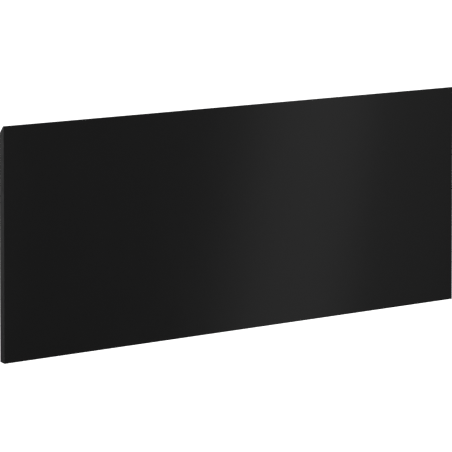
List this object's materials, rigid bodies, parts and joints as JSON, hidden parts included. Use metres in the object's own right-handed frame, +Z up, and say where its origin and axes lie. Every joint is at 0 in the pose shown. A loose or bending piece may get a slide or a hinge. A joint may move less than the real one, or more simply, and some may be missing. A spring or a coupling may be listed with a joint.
{
  "type": "kick plate",
  "caption": "Self-adhesive door kick plate: a flat satin black plastic sheet with a bevelled top rear edge, on foam mounting tape with release liners.",
  "frame": {"origin": "centre of the middle tape strip, on the outer face of its liner, which is the plane that meets the door", "axes": "+X along the plate's length, +Y out of its back towards the door, +Z up, so the front face looks along -Y"},
  "size_m": [0.8636, 0.0072, 0.254],
  "materials": {
    "plate_black": "satin black, fine even grain, with greyer saw-cut edges",
    "foam_tape": "dark grey closed-cell foam, matt, with cut cells along its edges",
    "liner_paper": "cream glassine paper, silicone coated, slight sheen"
  },
  "bodies": {
    "root": {"plate": "plate_black", "tape_top": "foam_tape", "tape_bottom": "foam_tape", "tape_left": "foam_tape", "tape_mid_left": "foam_tape", "tape_centre": "foam_tape", "tape_mid_right": "foam_tape", "tape_right": "foam_tape", "liner_top": "liner_paper", "liner_bottom": "liner_paper", "liner_left": "liner_paper", "liner_mid_left": "liner_paper", "liner_centre": "liner_paper", "liner_mid_right": "liner_paper", "liner_right": "liner_paper"}
  },
  "joints": []
}
